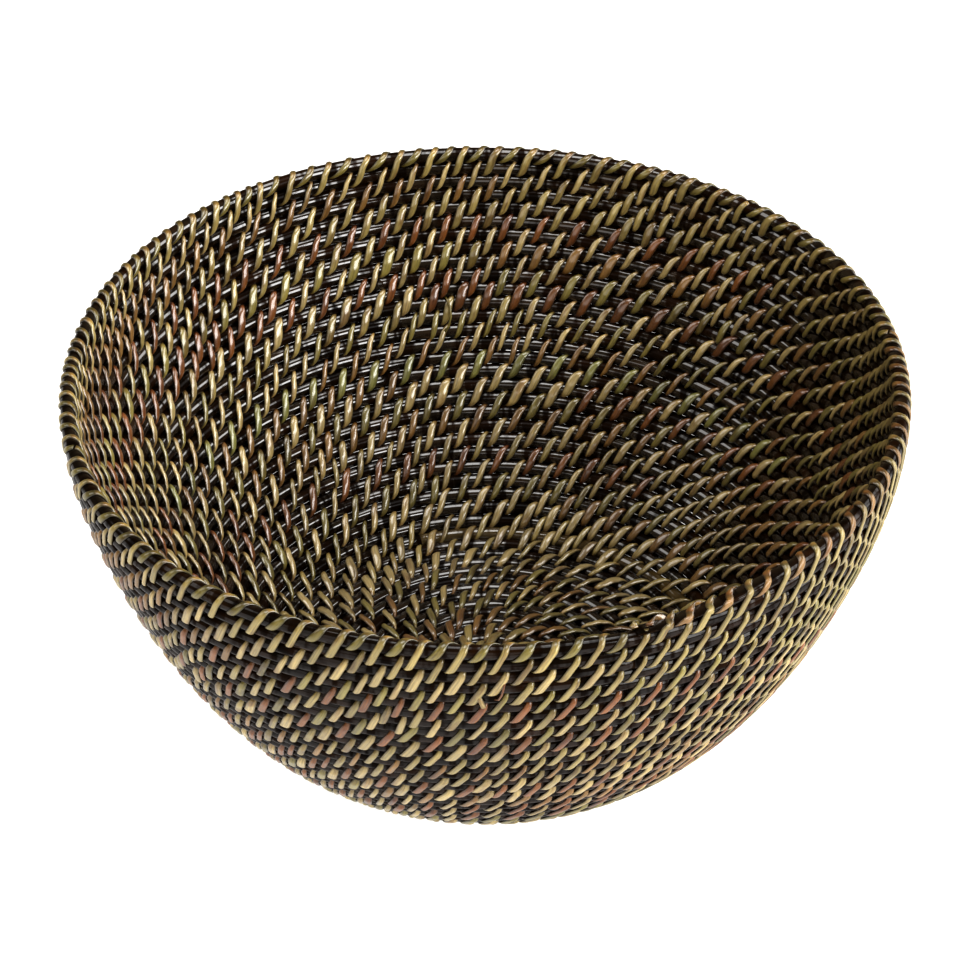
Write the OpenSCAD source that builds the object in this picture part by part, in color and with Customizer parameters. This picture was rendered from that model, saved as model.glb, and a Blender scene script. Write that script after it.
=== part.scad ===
// Coiled rattan fruit basket.
// One long spiral of round canes, spliced end to end, runs from the middle of the flat
// base, out to its edge and up the wall to the rim. Split-cane binding strips lash every
// round of the spiral to the round before it, on the inside and on the outside.
// Origin: the middle of the surface that the basket stands on. +Z is up. Millimetres.

/* [Bowl] */
// Radius of the rim's cane, from the bowl's axis to the middle of the cane
rim_radius = 161.5; // [150:0.5:175]
// Distance from one round of the spiral to the next, along the wall or the base
round_pitch = 5.64; // [5.5:0.02:5.8]
// Direction in which the spiral's last, tapered end points, in degrees round the axis
rim_end_angle = -72; // [-180:1:180]

/* [Canes] */
// Diameter of the core canes
cane_d = 5.2; // [4.6:0.1:5.3]
// Length over which the cane's last end is shaved down to nothing
scarf_length = 58; // [40:1:80]

/* [Binding] */
// Thickness of the split-cane binding strips
strip_t = 0.85; // [0.6:0.05:1]

/* [Hidden] */
cane_r = cane_d / 2;
// A natural cane's knuckles stand this little proud of it
knuckle_r = cane_r + 0.1;
// Half the gap between two stretches that lie end to end
hair = 0.2;
// Clearance between a binding roll and the canes that it lies against
roll_clear = 0.03;
cane_sides = 24;
roll_sides = 16;
turn_sides = 96;

// The wall's lean from vertical against the number of rounds below the rim: upright at
// the rim, swelling inwards, then turning under into the flat base.
LEAN = [[0, 2], [4, 15], [8, 21], [14, 26.5], [20, 34], [24, 40], [27.5, 49], [31, 90]];
base_round = 31;
last_round = 44;
half_turns = 2 * last_round;

// The spiral's radius and height at every half turn, counted from the rim's end.
function lean(n) = n >= base_round ? 90 : lookup(n, LEAN);
function step_r(k) = round_pitch / 2 * sin(lean((k + 0.5) / 2));
function step_z(k) = round_pitch / 2 * cos(lean((k + 0.5) / 2));
COIL_R = [for (k = 0, r = rim_radius; k <= half_turns; r = r - step_r(k), k = k + 1) r];
DROP = [for (k = 0, z = 0; k <= half_turns; z = z + step_z(k), k = k + 1) z];
base_z = strip_t + cane_r;
COIL = [for (k = [0 : half_turns]) [COIL_R[k], base_z + DROP[half_turns] - DROP[k]]];

// A binding roll fills the groove between a round and the next, on one side of the wall.
// It touches both canes and stands as proud of them as a binding strip does.
roll_r = (pow(round_pitch / 2, 2) + 2 * cane_r * strip_t + pow(strip_t, 2))
         / (2 * (cane_d + strip_t)) - roll_clear;
roll_out = cane_r + strip_t - roll_r;
function groove(k, side) =
    let (a = COIL[k], b = COIL[min(k + 2, half_turns)], n = lean(k / 2 + 0.5))
    (a + b) / 2 + side * roll_out * [cos(n), -sin(n)];
OUTER = [for (k = [0 : half_turns - 2]) groove(k, 1)];
INNER = [for (k = [0 : half_turns - 2]) groove(k, -1)];

// Where one cane ends and the next begins, in rounds below the rim.
CANE_ENDS = [0, 3, 6, 9.5, 13, 16.5, 20, 24, 28.25];
natural_end = 28.5;
base_edge_end = 30;
base_outer_end = 36;
// The bands that the wall's binding is lashed in, in the same rounds.
BAND_ENDS = [0, 3, 6, 9.5, 13, 16.5, 20, 24, 28];
rim_binding_start = 0.06;
// The inside binding stops short of the tight start in the middle of the base.
inside_binding_end = 42.5;
// Thickness left at the very tip of the scarfed cane
tip_t = 0.4;
// The block that cuts the scarf stands this far past the cane on every side.
cut_margin = 15;

natural_cane = "darkkhaki";
dark_cane = "#2b221b";
strip_colour = "#b3a06b";

// Places its child, a sector of a ring in the XY plane, as the spiral's half turn from
// point a to point b, which are radius and height pairs on opposite sides of the axis.
module half_turn(k, a, b) {
    side = k % 2 == 0 ? 1 : -1;
    translate([side * (a.x - b.x) / 2, 0, (a.y + b.y) / 2])
        rotate([0, -side * atan((a.y - b.y) / (a.x + b.x)), 0])
            rotate([0, 0, side > 0 ? 0 : 180])
                children();
}

// A stretch of spiral along the path, from round n1 to round n2, with its child as its
// cross-section. It is made of half turns that stop a hair short of each other.
module spiral(path, n1, n2) {
    rotate([0, 0, rim_end_angle])
        for (k = [floor(2 * n1) : ceil(2 * n2) - 1]) {
            a = path[k];
            b = path[k + 1];
            radius = norm([a.x + b.x, a.y - b.y]) / 2;
            trim = hair / radius * 180 / PI;
            from = 180 * max(2 * n1 - k, 0) + trim;
            to = 180 * min(2 * n2 - k, 1) - trim;
            half_turn(k, a, b)
                rotate([0, 0, from])
                    rotate_extrude(angle = to - from, $fn = turn_sides)
                        translate([radius, 0])
                            children();
        }
}

// A cane in one piece: its half turns are joined by slight round knuckles, such as a
// natural cane has.
module cane(n1, n2) {
    spiral(COIL, n1, n2) circle(r = cane_r, $fn = cane_sides);
    for (k = [floor(2 * n1) + 1 : ceil(2 * n2) - 1])
        rotate([0, 0, rim_end_angle + 180 * k])
            translate([COIL[k].x, 0, COIL[k].y])
                sphere(r = knuckle_r, $fn = cane_sides);
}

module rolls(path, n1, n2) {
    spiral(path, n1, n2) circle(r = roll_r, $fn = roll_sides);
}

// The rim's cane ends in a scarf: its upper side is shaved away down to a thin tip.
module rim_cane() {
    color(dark_cane)
        difference() {
            cane(CANE_ENDS[0], CANE_ENDS[1]);
            rotate([0, 0, rim_end_angle])
                translate([rim_radius - cut_margin, 0, COIL[0].y - cane_r])
                    rotate([atan(cane_d / scarf_length), 0, 0])
                        translate([0, -cane_d, tip_t])
                            cube([2 * cut_margin, scarf_length + 2 * cane_d, cut_margin]);
        }
}

module wall_cane(i) {
    color(dark_cane) cane(CANE_ENDS[i], CANE_ENDS[i + 1]);
}

// One short splice of undyed cane, where the wall turns into the base.
module natural_cane_splice() {
    color(natural_cane) cane(CANE_ENDS[len(CANE_ENDS) - 1], natural_end);
}

module base_edge_cane() {
    color(dark_cane) cane(natural_end, base_edge_end);
}

module base_outer_cane() {
    color(dark_cane) cane(base_edge_end, base_outer_end);
}

// The spiral begins in the middle of the base, with the cane's rounded first end.
module base_centre_cane() {
    start = COIL[half_turns];
    color(dark_cane) {
        cane(base_outer_end, last_round);
        rotate([0, 0, rim_end_angle + 180 * half_turns])
            translate([start.x, 0, start.y])
                sphere(r = knuckle_r, $fn = cane_sides);
    }
}

// The strips' turns over the rim's cane, as a cap on its upper half.
module rim_binding() {
    color(strip_colour)
        spiral(COIL, rim_binding_start, 1)
            difference() {
                circle(r = cane_r + strip_t, $fn = cane_sides);
                circle(r = cane_r + roll_clear, $fn = cane_sides);
                translate([-cane_d, -cane_d]) square([2 * cane_d, cane_d]);
            }
}

// The strips that lash a band of the wall, as one roll in the outer groove and one in
// the inner groove.
module binding(n1, n2) {
    color(strip_colour) {
        rolls(OUTER, n1, n2);
        rolls(INNER, n1, n2);
    }
}

module wall_binding(i) {
    binding(BAND_ENDS[i], BAND_ENDS[i + 1]);
}

module base_edge_binding() {
    binding(BAND_ENDS[len(BAND_ENDS) - 1], base_edge_end);
}

module base_inside_binding() {
    color(strip_colour) rolls(INNER, base_edge_end, inside_binding_end);
}

// The strips under the base, as the flat sheet that the basket stands on.
module base_underside_binding() {
    color(strip_colour)
        cylinder(r = COIL[2 * base_round].x, h = strip_t - roll_clear, $fn = turn_sides);
}

rim_cane();
wall_cane(1);  // wall_cane_1
wall_cane(2);  // wall_cane_2
wall_cane(3);  // wall_cane_3
wall_cane(4);  // wall_cane_4
wall_cane(5);  // wall_cane_5
wall_cane(6);  // wall_cane_6
wall_cane(7);  // wall_cane_7
natural_cane_splice();
base_edge_cane();
base_outer_cane();
base_centre_cane();
rim_binding();
wall_binding(0);  // wall_binding_1
wall_binding(1);  // wall_binding_2
wall_binding(2);  // wall_binding_3
wall_binding(3);  // wall_binding_4
wall_binding(4);  // wall_binding_5
wall_binding(5);  // wall_binding_6
wall_binding(6);  // wall_binding_7
wall_binding(7);  // wall_binding_8
base_edge_binding();
base_inside_binding();
base_underside_binding();
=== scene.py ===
"""The coiled rattan fruit basket, as it looks: a spiral of dark lacquered cane, and the light
split-cane strip that lashes every round of it to the round before.

The coil follows the CAD part's own spiral. Lengths are in millimetres until a mesh is made.
"""
import math

import bpy
import numpy as np
from mathutils import Matrix, Vector


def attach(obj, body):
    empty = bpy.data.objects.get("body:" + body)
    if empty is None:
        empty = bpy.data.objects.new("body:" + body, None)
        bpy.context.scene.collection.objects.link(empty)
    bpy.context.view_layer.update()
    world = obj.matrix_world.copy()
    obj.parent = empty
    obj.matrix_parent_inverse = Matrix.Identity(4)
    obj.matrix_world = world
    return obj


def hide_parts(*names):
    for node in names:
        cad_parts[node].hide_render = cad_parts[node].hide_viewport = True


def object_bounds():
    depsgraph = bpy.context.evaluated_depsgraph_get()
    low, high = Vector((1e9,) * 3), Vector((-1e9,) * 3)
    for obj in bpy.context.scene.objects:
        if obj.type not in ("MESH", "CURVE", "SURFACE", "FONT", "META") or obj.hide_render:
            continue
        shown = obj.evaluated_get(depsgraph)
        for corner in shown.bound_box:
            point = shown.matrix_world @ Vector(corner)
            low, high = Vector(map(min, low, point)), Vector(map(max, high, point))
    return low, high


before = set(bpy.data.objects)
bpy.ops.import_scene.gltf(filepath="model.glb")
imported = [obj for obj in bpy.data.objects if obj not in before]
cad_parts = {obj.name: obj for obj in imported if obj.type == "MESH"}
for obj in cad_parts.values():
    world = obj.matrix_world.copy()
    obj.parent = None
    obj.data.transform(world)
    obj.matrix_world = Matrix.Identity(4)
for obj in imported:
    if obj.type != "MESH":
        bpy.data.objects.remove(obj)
cad_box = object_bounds()
rng = np.random.default_rng(1907)

MM = 0.001

# ---------------------------------------------------------------- sizes, as in the CAD part

RIM_R = 161.5            # from the bowl's axis to the middle of the rim's cane
PITCH = 5.64             # from one round of the spiral to the next
CANE_R = 2.6
STRIP_T = 0.85           # thickness of the binding strips
RIM_END = math.radians(-72)   # direction in which the spiral's tapered end points
LAST_ROUND = 44          # rounds from the rim's end to the middle of the base
SCARF_ROUNDS = 0.057     # length of the taper at the rim's end, in rounds
SCARF_TIP = 0.08         # what it leaves of the cane's height at the tip
LEAN_AT = [0, 4, 8, 14, 20, 24, 27.5, 31]
LEAN_DEG = [2, 15, 21, 26.5, 34, 40, 49, 90]
CANE_ENDS = {
    "rim_cane": (0, 3), "wall_cane_1": (3, 6), "wall_cane_2": (6, 9.5),
    "wall_cane_3": (9.5, 13), "wall_cane_4": (13, 16.5), "wall_cane_5": (16.5, 20),
    "wall_cane_6": (20, 24), "wall_cane_7": (24, 28.25), "natural_cane_splice": (28.25, 28.5),
    "base_edge_cane": (28.5, 30), "base_outer_cane": (30, 36), "base_centre_cane": (36, 44),
}

# ---------------------------------------------------------------- the spiral

STEPS = 64               # steps a round in which the spiral is worked out
rounds_at = np.arange(LAST_ROUND * STEPS + 1) / STEPS
lean_mid = np.radians(np.interp(rounds_at[:-1] + 0.5 / STEPS, LEAN_AT, LEAN_DEG))
radius_at = RIM_R - np.concatenate([[0], np.cumsum(PITCH / STEPS * np.sin(lean_mid))])
drop_at = np.concatenate([[0], np.cumsum(PITCH / STEPS * np.cos(lean_mid))])
height_at = CANE_R + STRIP_T + drop_at[-1] - drop_at
RIM_Z = height_at[0]


def coil_radius(n):
    return np.interp(n, rounds_at, radius_at)


def unit(v):
    return v / np.linalg.norm(v, axis=-1, keepdims=True)


def coil(n):
    """The middle of the cane, n rounds below the rim's end."""
    turn = RIM_END + 2 * np.pi * n
    r = coil_radius(n)
    return np.stack([r * np.cos(turn), r * np.sin(turn), np.interp(n, rounds_at, height_at)], -1)


def coil_axes(n, below=0):
    """Two directions, n rounds below the rim's end: out of the bowl, and up along its wall. The
    wall's lean is taken this many rounds further below."""
    turn = RIM_END + 2 * np.pi * n
    lean = np.radians(np.interp(n + below, LEAN_AT, LEAN_DEG))
    c, s = np.cos(turn), np.sin(turn)
    out = np.stack([np.cos(lean) * c, np.cos(lean) * s, -np.sin(lean)], -1)
    up = np.stack([np.sin(lean) * c, np.sin(lean) * s, np.cos(lean)], -1)
    return out, up


# How far the rim is out of true, as waves round it: each is the number of waves in a round, and
# the millimetres of its cosine and of its sine.
OUT_WIDE = [(2, -2.7, -0.3), (3, -0.7, 1.1), (4, -2.1, -0.5)]
OUT_HIGH = [(2, -1.4, -1.2), (3, 1.0, -1.7), (1, 0, -0.6)]
RIM_SHIFT = (0.4, 3.9)   # and how far the rim's middle is to the right of the base's, and behind it
ABOVE_RIM = 1.02         # the top of the rim's stitches, as a share of the rim cane's rise


def waves(turn, parts):
    return sum(c * np.cos(k * turn) + s * np.sin(k * turn) for k, c, s in parts)


def out_of_true(p):
    """A hand-coiled bowl is never quite round: its rim is some millimetres out, its base isn't."""
    turn = np.arctan2(p[..., 1], p[..., 0])
    rise = np.clip((p[..., 2] - height_at[-1]) / (RIM_Z - height_at[-1]), 0, ABOVE_RIM)
    wide = waves(turn, OUT_WIDE)
    return p + rise[..., None] * np.stack(
        [wide * np.cos(turn) + RIM_SHIFT[0], wide * np.sin(turn) + RIM_SHIFT[1],
         waves(turn, OUT_HIGH)], -1)


def scarf_left(n):
    """The share of the cane's height that the taper at the rim's end leaves."""
    return np.clip(n / SCARF_ROUNDS, SCARF_TIP, 1)


def distance_along(path):
    return np.concatenate([[0], np.cumsum(np.linalg.norm(np.diff(path, axis=0), axis=1))])


# ---------------------------------------------------------------- making a mesh

def tube(name, rings, along, around, joined, colour=None):
    """A mesh through rings of points. Ring i runs on to ring i + 1 where joined[i] is true, and
    the tube is capped where it isn't. along and around are its two texture coordinates, and colour
    is one colour a ring."""
    sides = rings.shape[1]
    i, j = np.meshgrid(np.nonzero(joined)[0], np.arange(sides), indexing="ij")
    i, j = i.ravel(), j.ravel()
    k = (j + 1) % sides
    quads = np.stack([i * sides + j, i * sides + k, (i + 1) * sides + k, (i + 1) * sides + j], -1)
    quad_uv = np.stack([np.stack([around[a], along[b]], -1)
                        for a, b in ((j, i), (j + 1, i), (j + 1, i + 1), (j, i + 1))], 1)
    corners = rings.reshape(-1, 3)
    a, b, c = (corners[quads[:, x]] for x in (0, 1, 2))
    inside_out = np.einsum("ij,ij->i", a, np.cross(b, c)).sum() < 0
    runs_on = np.append(joined, False)
    came_on = np.append(False, joined)
    first = np.nonzero(runs_on & ~came_on)[0]
    last = np.nonzero(came_on & ~runs_on)[0]
    side = np.arange(sides)
    caps = np.concatenate([first[:, None] * sides + side[::-1], last[:, None] * sides + side])
    cap_uv = np.concatenate([
        np.stack(np.broadcast_arrays(around[side[::-1]], along[first][:, None]), -1),
        np.stack(np.broadcast_arrays(around[side], along[last][:, None]), -1)])
    if inside_out:
        quads, quad_uv, caps, cap_uv = (x[:, ::-1] for x in (quads, quad_uv, caps, cap_uv))
    mesh = bpy.data.meshes.new(name)
    mesh.vertices.add(len(corners))
    mesh.vertices.foreach_set("co", (corners * MM).ravel())
    loops = np.concatenate([quads.ravel(), caps.ravel()])
    mesh.loops.add(len(loops))
    mesh.loops.foreach_set("vertex_index", loops)
    mesh.polygons.add(len(quads) + len(caps))
    starts = np.concatenate([
        np.arange(len(quads)) * 4, len(quads) * 4 + np.arange(len(caps)) * sides])
    mesh.polygons.foreach_set("loop_start", starts)
    mesh.update(calc_edges=True)
    uv = mesh.uv_layers.new(name="AlongUV")
    uv.data.foreach_set("uv", np.concatenate([quad_uv.reshape(-1), cap_uv.reshape(-1)]))
    if colour is not None:
        layer = mesh.attributes.new("strip_colour", "FLOAT_COLOR", "POINT")
        layer.data.foreach_set("color", np.repeat(colour, sides, 0).ravel())
    mesh.validate()
    mesh.shade_smooth()
    piece = bpy.data.objects.new(name, mesh)
    bpy.context.collection.objects.link(piece)
    return piece


# ---------------------------------------------------------------- materials

BUMP_DEPTH = 0.0003      # metres


class Nodes:
    """A short way to write a procedural material."""

    def __init__(self, name):
        self.material = bpy.data.materials.new(name)
        self.material.use_nodes = True
        self.tree = self.material.node_tree
        self.shader = self.tree.nodes["Principled BSDF"]

    def add(self, kind, inputs=(), **settings):
        node = self.tree.nodes.new(kind)
        for key, value in settings.items():
            setattr(node, key, value)
        for key, value in dict(inputs).items():
            self.put(node.inputs[key], value)
        return node

    def put(self, socket, value):
        if isinstance(value, bpy.types.NodeSocket):
            self.tree.links.new(value, socket)
        else:
            socket.default_value = value

    def along(self, across_scale, along_scale):
        """A vector that runs with the cane or strip, scaled across it and along it."""
        uv = self.add("ShaderNodeUVMap", uv_map="AlongUV")
        return self.add("ShaderNodeMapping", {
            "Vector": uv.outputs["UV"], "Scale": (across_scale, along_scale, 1)}).outputs[0]

    def around(self):
        """How far round the cane, or across the strip, from 0 to 1."""
        uv = self.add("ShaderNodeUVMap", uv_map="AlongUV")
        return self.add("ShaderNodeSeparateXYZ", {"Vector": uv.outputs["UV"]}).outputs["X"]

    def noise(self, vector, detail=3, rough=0.6):
        return self.add("ShaderNodeTexNoise", {
            "Vector": vector, "Scale": 1, "Detail": detail, "Roughness": rough}).outputs["Fac"]

    def ramp(self, value, *stops):
        node = self.add("ShaderNodeValToRGB", {"Fac": value})
        elements = node.color_ramp.elements
        while len(elements) < len(stops):
            elements.new(0.5)
        for element, (at, colour) in zip(elements, stops):
            element.position = at
            element.color = (*colour, 1)
        return node.outputs["Color"]

    def mix(self, blend, factor, a, b):
        node = self.add("ShaderNodeMix", data_type="RGBA", blend_type=blend)
        self.put(node.inputs[0], factor)
        self.put(node.inputs[6], a)
        self.put(node.inputs[7], b)
        return node.outputs[2]

    def remap(self, value, low, high, to_low, to_high):
        return self.add("ShaderNodeMapRange", {
            "Value": value, "From Min": low, "From Max": high,
            "To Min": to_low, "To Max": to_high}).outputs[0]

    def bump(self, height, strength):
        return self.add("ShaderNodeBump", {
            "Height": height, "Strength": strength, "Distance": BUMP_DEPTH}).outputs[0]

    def shade(self, **values):
        for key, value in values.items():
            self.put(self.shader.inputs[key.replace("_", " ")], value)
        return self.material


def grey(v):
    return (v, v, v)


def strip_material():
    m = Nodes("split_cane_strip")
    strip = m.add("ShaderNodeAttribute", attribute_name="strip_colour").outputs
    colour, inside = strip["Color"], strip["Alpha"]
    fibre = m.noise(m.along(5, 0.05), 4, 0.7)
    blotch = m.noise(m.along(0.6, 0.05))
    # Darker towards the strip's sides: partly stain pooled along them, partly painted shade between
    # neighbouring strips.
    edge = m.ramp(m.around(), (0.0, grey(0.25)), (0.2, grey(1)), (0.8, grey(1)), (1.0, grey(0.25)))
    streaks = m.ramp(fibre, (0.3, grey(0.5)), (0.5, grey(0.92)), (0.7, grey(1.2)))
    stain = m.ramp(blotch, (0.34, (0.42, 0.27, 0.17)), (0.5, grey(1)))
    tone = m.mix("MULTIPLY", 1.0, colour, streaks)
    tone = m.mix("MULTIPLY", 0.7, tone, stain)
    tone = m.mix("MULTIPLY", 1.0, tone, edge)
    return m.shade(
        Base_Color=tone, Roughness=m.remap(fibre, 0.3, 0.7, 0.3, 0.5),
        Coat_Weight=m.remap(inside, 0, 1, 0.3, 1), Coat_IOR=2.0, Coat_Roughness=0.19,
        Normal=m.bump(fibre, 0.5))


def cane_material(name, dark, light, rough_low, rough_high):
    m = Nodes(name)
    ridge = m.noise(m.along(34, 0.02), 2)
    wear = m.noise(m.along(1.5, 0.04), 4)
    tone = m.mix("MIX", m.remap(wear, 0.45, 0.75, 0, 1), (*dark, 1), (*light, 1))
    # The lacquer has kept its gloss inside the bowl, and is duller outside.
    gloss = m.ramp(
        m.around(), (0.2, grey(0.25)), (0.32, grey(1)), (0.68, grey(1)), (0.8, grey(0.25)))
    patches = m.noise(m.along(0.8, 0.16), 2)
    gloss = m.mix("MULTIPLY", 1.0, gloss, m.ramp(patches, (0.43, grey(0.03)), (0.53, grey(1))))
    ridges = m.bump(ridge, 0.08)
    return m.shade(
        Base_Color=tone, Roughness=m.remap(wear, 0.3, 0.7, rough_low, rough_high),
        Specular_IOR_Level=0.05, Coat_Weight=gloss, Coat_IOR=2.1, Coat_Roughness=0.05,
        Normal=ridges, Coat_Normal=ridges)


STRIP = strip_material()
DARK_CANE = cane_material(
    "dark_cane_lacquer", (0.006, 0.0026, 0.001), (0.035, 0.013, 0.0035), 0.16, 0.3)
NATURAL_CANE = cane_material(
    "natural_cane_lacquer", (0.08, 0.052, 0.017), (0.16, 0.11, 0.036), 0.25, 0.4)

# ---------------------------------------------------------------- the canes

CANE_SIDES = 16
CANE_STEP = 3.5          # length of cane between two rings
CANE_SWELL = 1.075       # neighbouring rounds are pressed closer than the CAD's clearance
UNEVEN = [(0.012, 23), (0.01, 9.1)]   # waves in its thickness: share of its radius, and length


def cane_piece(node, start, end):
    length = 2 * math.pi * np.mean(coil_radius(np.linspace(start, end, 50))) * (end - start)
    n = np.linspace(start, end, max(int(length / CANE_STEP), 8))
    middle = coil(n)
    out, up = coil_axes(n)
    travel = distance_along(middle)
    turn = 2 * np.pi * np.arange(CANE_SIDES) / CANE_SIDES
    (long_wave, long_length), (short_wave, short_length) = UNEVEN
    radius = CANE_R * CANE_SWELL * (
        1 + long_wave * np.sin(travel / long_length + start)
        + short_wave * np.sin(travel / short_length))
    x = radius[:, None] * np.cos(turn)
    y = radius[:, None] * np.sin(turn)
    y = np.minimum(y, (radius * (2 * scarf_left(n) - 1))[:, None])
    rings = middle[:, None] + x[..., None] * out[:, None] + y[..., None] * up[:, None]
    piece = tube(node + "_coil", out_of_true(rings), travel,
                 np.arange(CANE_SIDES + 1) / CANE_SIDES, np.ones(len(n) - 1, bool))
    natural = node == "natural_cane_splice"
    piece.data.materials.append(NATURAL_CANE if natural else DARK_CANE)
    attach(piece, "root")
    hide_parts(node)


for node, (start, end) in CANE_ENDS.items():
    cane_piece(node, start, end)

# ---------------------------------------------------------------- where the strip is lashed

STITCH = 12.9            # usual distance between two stitches of one round
CROWDED = 1.38           # a gap this many times as wide as that takes two stitches
FIRST_STITCHES = 5       # round the tight start in the middle of the base
SLIP = 0.025             # how unevenly they are spaced, as a share of the gap
NEAREST_RIM_END = 0.004  # rounds below the rim's end, the last place that takes a stitch


def lash_places():
    """Rounds below the rim of every stitch over two rounds, from the middle of the base out.
    Each falls midway between two stitches of the round inside it, and a wide gap takes two."""
    places = list(LAST_ROUND - 1 - np.arange(FIRST_STITCHES + 1) / FIRST_STITCHES)
    i = 0
    while places[i + 1] > 1:
        a, b = places[i] - 1, places[i + 1] - 1
        gap = (a - b) * 2 * np.pi * coil_radius(a)
        slip = rng.normal(0, SLIP)
        shares = (0.25 + slip, 0.75 + slip) if gap > CROWDED * STITCH else (0.5 + slip,)
        places += [a + (b - a) * share for share in shares]
        i += 1
    return np.array([p for p in places if p > NEAREST_RIM_END])


long_places = lash_places()
wall_count = np.count_nonzero(long_places >= 1)
# The rim's strip starts one stitch early, and its last stitch goes round the cane's tip.
rim_places = np.append(long_places[wall_count - 1:], 2 * long_places[-1] - long_places[-2])
# A second strip wraps the rim alone, with one short stitch between every two long ones.
short_places = rim_places[:-1] + 0.5 * np.diff(rim_places)

# ---------------------------------------------------------------- the strip's path and its runs

# One turn of the strip, from the gap above a round, down the outside, through the gap below and
# up the inside: how far it is towards the lower round, its direction from that cane's middle
# (0 is out, 90 is up), its share of the way to the next stitch, and its share of its full width.
OVER_TWO = [(0, 90, 0.00, 0.60), (0, 60, 0.02, 0.72), (0, 30, 0.06, 0.88), (0, 0, 0.12, 0.95),
            (0.5, 0, 0.21, 1), (1, 0, 0.30, 1), (1, -30, 0.36, 1), (1, -60, 0.42, 0.9),
            (1, -90, 0.47, 0.6), (1, -120, 0.54, 0.6), (1, -150, 0.61, 0.82),
            (1, -180, 0.67, 1.0), (0.5, -180, 0.74, 1.1), (0, -180, 0.81, 1.05),
            (0, -210, 0.88, 0.88), (0, -240, 0.95, 0.68), (0, -270, 1.00, 0.58)]
# The strip is only narrowed where it is pinched between two rounds, not over the rim's top.
OVER_RIM = [(lower, angle, share, width if lower > 0 else max(width, 0.95))
            for lower, angle, share, width in OVER_TWO]
OVER_ONE = [(0, 90, 0.00, 0.95), (0, 60, 0.04, 0.97), (0, 30, 0.11, 1), (0, 0, 0.20, 1),
            (0, -30, 0.29, 1), (0, -60, 0.37, 0.9), (0, -90, 0.42, 0.6), (0, -120, 0.50, 0.65),
            (0, -150, 0.62, 0.9), (0, -180, 0.74, 1), (0, -210, 0.86, 1),
            (0, -240, 0.95, 0.97), (0, -270, 1.00, 0.95)]
FINE = 26                # rings of the strip in one turn
FIRST_BARE = 1.2         # rounds in the middle of the base that are lashed on their own
SUNK = 0.06              # how deep the strip is pressed into the canes
BULGE = 0.6              # how far the strip stands off between the two rounds, inside the bowl
OUTSIDE_GAP_SHADE = 0.6      # how much of its light the painted shade takes from the strip in the gaps
INSIDE_END_SHADE = np.array([0.45, 0.62, 0.78])   # and, inside, the painted shade along its ends, red, green and blue
GAP_ONLY = 8             # powers that keep the painted shade near the gap outside,
SPREADS_OUT = 1.3        # and let it spread along the strip inside
UNLIKE_WIDTH = (0.9, 1.1)     # one stitch's width against the next
UNLIKE_SHADE = (0.82, 1.15)   # and its brightness, and one length of strip's

# The strip's cross-section, flat below and rounded above: half widths across, thicknesses up.
SECTION = np.array([(-0.93, 0), (0.93, 0), (1, 0.2), (0.84, 0.58), (0.48, 0.88), (0, 1),
                    (-0.48, 0.88), (-0.84, 0.58), (-1, 0.2)])
SECTION_AROUND = np.append(SECTION[:, 0], SECTION[0, 0]) / 2 + 0.5

COLOURS = {              # what the strips look like in daylight, and how common each colour is
    "straw": ((0.53, 0.415, 0.185), 0.28),
    "khaki": ((0.41, 0.325, 0.12), 0.26),
    "olive": ((0.30, 0.25, 0.068), 0.16),
    "green": ((0.27, 0.265, 0.08), 0.04),
    "rust": ((0.25, 0.092, 0.018), 0.16),
    "brown": ((0.32, 0.18, 0.05), 0.10),
}
STRAWS = ("straw", "khaki", "khaki")
BROWNS = ("brown", "brown", "olive")
WALL_WIDE = 2.8          # the strips' usual widths: on the wall and the base,
RIM_WIDE = 3.1           # over the rim and the round below it,
WRAP_WIDE = 2.8          # and over the rim alone
WIDTH_SPREAD = 0.4       # how far one length's width differs from the usual,
NARROWER = 0.5           # at most this much less
WIDER = 1                # or this much more
RUN_STITCHES = (8, 50)   # how few and how many stitches one length of strip makes


def runs(count, names, wide):
    """Which length of strip each stitch belongs to, and that strip's colour and width."""
    chance = np.array([COLOURS[name][1] for name in names])
    which, colours, widths = [], [], []
    while len(which) < count:
        which += [len(colours)] * int(rng.integers(*RUN_STITCHES))
        base = np.array(COLOURS[names[rng.choice(len(names), p=chance / chance.sum())]][0])
        colours.append(base * rng.uniform(*UNLIKE_SHADE))
        widths.append(np.clip(rng.normal(wide, WIDTH_SPREAD), wide - NARROWER, wide + WIDER))
    return np.array(which[:count]), np.array(colours), np.array(widths)


def strip_rings(path, side, face, half, thick):
    return (path[:, None] + SECTION[:, :1] * half * side[:, None]
            + (SECTION[:, 1:] - 0.5) * thick * face[:, None])


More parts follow.
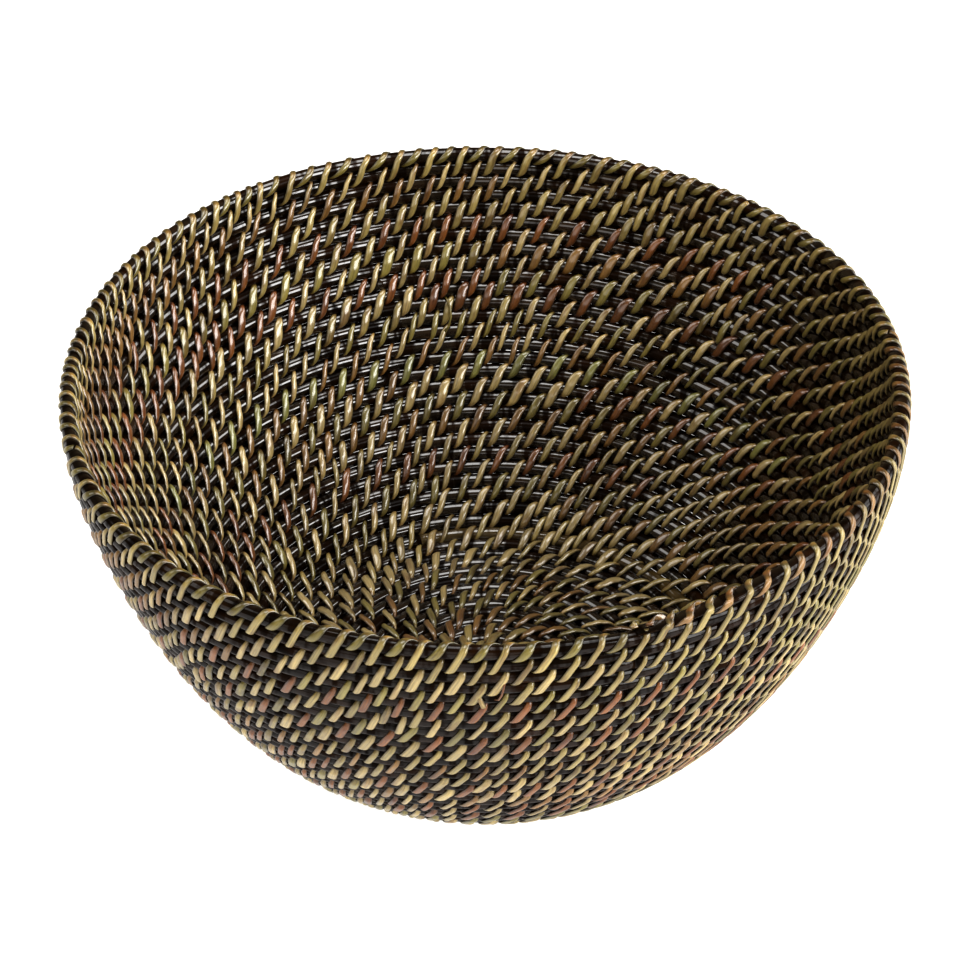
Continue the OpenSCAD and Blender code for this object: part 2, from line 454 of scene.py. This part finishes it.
def lash(places, table, names, wide):
    """The strip with its stitches at these places: for each ring of it, its points, how far along
    it is, its colour, its length of strip and its place. The colour's alpha is 1 inside the bowl
    and 0 outside."""
    count = len(places) - 1
    run_of, run_colour, run_width = runs(count, names, wide)
    at = np.linspace(0, len(table) - 1, FINE, endpoint=False)
    lower, angle, share, width = (
        np.interp(at, range(len(table)), column) for column in zip(*table))
    angle = np.radians(angle)
    n = np.maximum(places[:-1, None] + np.diff(places)[:, None] * share, 0)
    has_lower = n < LAST_ROUND - FIRST_BARE     # the first stitches have no round inside them
    to_lower = coil(np.minimum(n + 1, LAST_ROUND)) - coil(n)
    middle = coil(n) + (lower * has_lower)[..., None] * to_lower
    out, up = coil_axes(n, 0.5 * max(lower))
    proud = CANE_R * CANE_SWELL + STRIP_T / 2 - SUNK
    is_inside = np.cos(angle) < 0
    bulge = BULGE * np.sin(np.pi * lower) ** 2 * is_inside
    off_out = (proud + bulge) * np.cos(angle)
    left = scarf_left(n)
    top = np.where(left < 1, CANE_R * (2 * left - 1) + STRIP_T / 2, proud)
    off_up = np.minimum(proud * np.sin(angle), top + PITCH * lower)
    path = (middle + off_out[..., None] * out + off_up[..., None] * up).reshape(-1, 3)
    face = (np.cos(angle)[:, None] * out + np.sin(angle)[:, None] * up).reshape(-1, 3)
    way = unit(np.gradient(path, axis=0))
    side = unit(np.cross(way, face))
    face = unit(np.cross(side, way))
    stitch = np.repeat(np.arange(count), FINE)
    run = run_of[stitch]
    half = run_width[run] / 2 * rng.uniform(*UNLIKE_WIDTH, count)[stitch] * np.tile(width, count)
    rings = strip_rings(path, side, face, half[:, None, None], STRIP_T)
    travel = distance_along(path)
    inside = np.tile(0.5 - 0.5 * np.cos(angle), count)
    in_gap = np.abs(np.sin(angle))[:, None]
    # Painted shade: the strip is darkened where it dives into the gaps between rounds, and inside
    # along its ends.
    stain = (OUTSIDE_GAP_SHADE * in_gap ** GAP_ONLY
             + (INSIDE_END_SHADE - OUTSIDE_GAP_SHADE) * is_inside[:, None] * in_gap ** SPREADS_OUT)
    shade = rng.uniform(*UNLIKE_SHADE, count)[stitch]
    colour = run_colour[run] * shade[:, None] * np.tile(np.clip(1 - stain, 0.1, 1), (count, 1))
    colour = np.column_stack([colour, inside])
    return out_of_true(rings), travel, colour, run, places[stitch]


def stitch_piece(name, strip, first, last, *nodes):
    """The stitches of one zone, from so many rounds below the rim to so many."""
    rings, travel, colour, run, at = strip
    pick = np.nonzero((at >= first) & (at < last))[0]
    joined = (np.diff(pick) == 1) & (np.diff(run[pick]) == 0)
    piece = tube(name, rings[pick], travel[pick], SECTION_AROUND, joined, colour[pick])
    piece.data.materials.append(STRIP)
    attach(piece, "root")
    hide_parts(*nodes)


main_strip = lash(long_places[:wall_count], OVER_TWO, tuple(COLOURS), WALL_WIDE)
rim_strip = lash(rim_places, OVER_RIM, STRAWS, RIM_WIDE)
rim_wrap = lash(short_places, OVER_ONE, BROWNS, WRAP_WIDE)
RIM_STITCHES_END = 1.1   # rounds below the rim's end, a little into the second round
stitch_piece("rim_stitches", rim_strip, 0, RIM_STITCHES_END, "rim_binding")
stitch_piece("rim_wrap", rim_wrap, 0, RIM_STITCHES_END, "rim_binding")
WALL_BANDS = [1, 3, 6, 9.5, 13, 16.5, 20, 24, 28]
for k, (first, last) in enumerate(zip(WALL_BANDS, WALL_BANDS[1:]), 1):
    stitch_piece(f"wall_stitches_{k}", main_strip, first, last, f"wall_binding_{k}")
stitch_piece("base_edge_stitches", main_strip, 28, 30, "base_edge_binding")
stitch_piece("base_stitches", main_strip, 30, 44, "base_inside_binding", "base_underside_binding")

# ---------------------------------------------------------------- loose ends of the strips

def loose_end(name, n, steps, wide, colour_name):
    """An end of strip that stands out of the weave n rounds below the rim's end. Its steps are
    millimetres along the cane, out of the bowl and up the wall from that cane's middle."""
    out, up = coil_axes(n)
    ahead = unit(coil(n + 0.001) - coil(n))
    path = coil(n) + np.array(steps) @ np.stack([ahead, out, up])
    way = unit(np.gradient(path, axis=0))
    side = unit(np.cross(way, out))
    rings = strip_rings(path, side, np.cross(side, way), wide / 2, min(STRIP_T, wide / 2))
    colour = np.tile([*COLOURS[colour_name][0], 0], (len(path), 1))
    piece = tube(name, out_of_true(rings), distance_along(path), SECTION_AROUND,
                 np.ones(len(path) - 1, bool), colour)
    piece.data.materials.append(STRIP)
    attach(piece, "root")


loose_end("cut_strip_end", 3.947, [
    (-0.6, 1.5, -2), (0, 3.2, -2.8), (0.8, 4.1, -4.2), (1.6, 4.6, -6.4)], 2, "straw")
loose_end("split_strand_outside", 2.955, [
    (1, 1.5, 0.8), (0.6, 3.3, -0.6), (0.2, 3.9, -3), (-0.4, 4, -6), (-1.4, 3.8, -8.5),
    (-2.6, 2.6, -9.6)], 0.9, "rust")
loose_end("split_strand_inside", 11.467, [
    (1, -1.5, 3), (0.4, -3.4, 2), (-0.6, -4.6, -1), (-0.8, -4.9, -5), (0.4, -4.6, -9),
    (2.4, -3.2, -11.5)], 0.9, "olive")

# ---------------------------------------------------------------- floor, light and camera

FLOOR_SIZE = 12
FLOOR_DROP = 0.2         # millimetres below the CAD's lowest point, just under the lowest strips

# The floor glows a little, as a light table does, so that it stays pale under the bowl.
bpy.ops.mesh.primitive_plane_add(size=FLOOR_SIZE)
floor = bpy.context.object
floor.name = "floor"
floor.location.z = cad_box[0][2] - FLOOR_DROP * MM
floor.data.materials.append(Nodes("pale_floor").shade(
    Base_Color=(*grey(0.5), 1), Roughness=0.9, Emission_Color=(1, 1, 1, 1), Emission_Strength=0.72))

BOWL = Vector((0, 0, 0.08))


def softbox(name, place, size, power):
    """A rectangular light, aimed at the bowl."""
    light = bpy.data.lights.new(name, "AREA")
    light.shape = "RECTANGLE"
    light.size, light.size_y = size
    light.energy = power
    lamp = bpy.data.objects.new(name, light)
    lamp.location = place
    lamp.rotation_euler = (BOWL - Vector(place)).to_track_quat("-Z", "Y").to_euler()
    bpy.context.collection.objects.link(lamp)


# Five softboxes stand in an arc on the right, and put a glint on the canes opposite.
ARC_RADIUS = 1.25
ARC_HEIGHT = 0.7
ARC_BOX = (0.42, 0.8)
ARC_LIGHTS = [(-52, 5.6), (-31, 5.3), (-10, 5), (11, 3.6), (32, 2.8)]   # bearing and power
for k, (bearing, power) in enumerate(ARC_LIGHTS):
    turn = math.radians(bearing)
    place = (ARC_RADIUS * math.cos(turn), ARC_RADIUS * math.sin(turn), ARC_HEIGHT)
    softbox(f"right_{k}", place, ARC_BOX, power)
softbox("front_left", (-0.8, -2.0, 0.9), (2.4, 1.4), 8.5)
softbox("left", (-1.1, 0.15, 1.2), (1, 1), 5.5)
softbox("overhead", (0.12, 0.1, 1.6), (0.9, 0.9), 8)

world = bpy.data.worlds.new("studio")
world.use_nodes = True
sky = world.node_tree.nodes["Background"].inputs
sky["Color"].default_value = (1, 0.76, 0.46, 1)
sky["Strength"].default_value = 0.18
bpy.context.scene.world = world
view = bpy.context.scene.view_settings
view.view_transform = "Standard"
view.exposure = 0.35
view.gamma = 0.77        # a contrasty print

# The camera stands off the rim's middle and looks a little below it.
DISTANCE = 1336.9
ABOVE = math.radians(34.12)
TILT = math.radians(35.85)
ROLL = math.radians(-0.48)
FOCAL_HEIGHTS = 3.66478  # the focal length, in heights of the frame
SENSOR = 36

camera_data = bpy.data.cameras.new("camera")
camera_data.sensor_width = SENSOR
camera_data.lens = FOCAL_HEIGHTS * SENSOR
camera = bpy.data.objects.new("camera", camera_data)
right = Vector((1, 0, 0))
top = Vector((0, math.sin(TILT), math.cos(TILT)))
back = Vector((0, -math.cos(TILT), math.sin(TILT)))
turned_right = right * math.cos(ROLL) + top * math.sin(ROLL)
turned_top = top * math.cos(ROLL) - right * math.sin(ROLL)
camera.matrix_world = Matrix.Translation(Vector((
    0, -DISTANCE * math.cos(ABOVE), DISTANCE * math.sin(ABOVE) + RIM_Z)) * MM) @ Matrix(
        (turned_right, turned_top, back)).transposed().to_4x4()
bpy.context.collection.objects.link(camera)
bpy.context.scene.camera = camera
